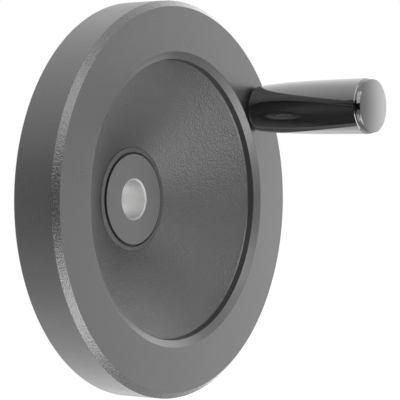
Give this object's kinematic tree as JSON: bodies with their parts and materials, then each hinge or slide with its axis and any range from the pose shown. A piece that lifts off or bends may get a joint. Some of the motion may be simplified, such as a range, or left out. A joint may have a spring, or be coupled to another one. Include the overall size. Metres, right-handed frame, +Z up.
{
  "type": "machine handwheel",
  "caption": "Dished solid-disc handwheel with a plain bored hub set back from a flat wide rim, and a revolving cylinder grip standing on the rim.",
  "frame": {"origin": "on the wheel's axis, half way along the shaft bore", "axes": "-Y out of the wheel's front, the side with the grip; +Y out of the rear of the hub along the shaft; +Z up"},
  "size_m": [0.16, 0.1003, 0.16],
  "materials": {
    "coated_aluminium": "dark grey fine-textured powder coat, bare machined metal in the bore",
    "steel": "turned, zinc-plated",
    "black_thermoset": "polished black"
  },
  "bodies": {
    "wheel": {"wheel": "coated_aluminium", "grip_spindle": "steel"},
    "grip": {"grip_sleeve": "black_thermoset", "grip_end_cap": "black_thermoset"}
  },
  "joints": [
    {"name": "grip_spin", "type": "hinge", "parent": "wheel", "child": "grip", "pos_m": [0.05692, -0.06, 0.03825], "axis": [0, -1, 0], "continuous": true}
  ]
}
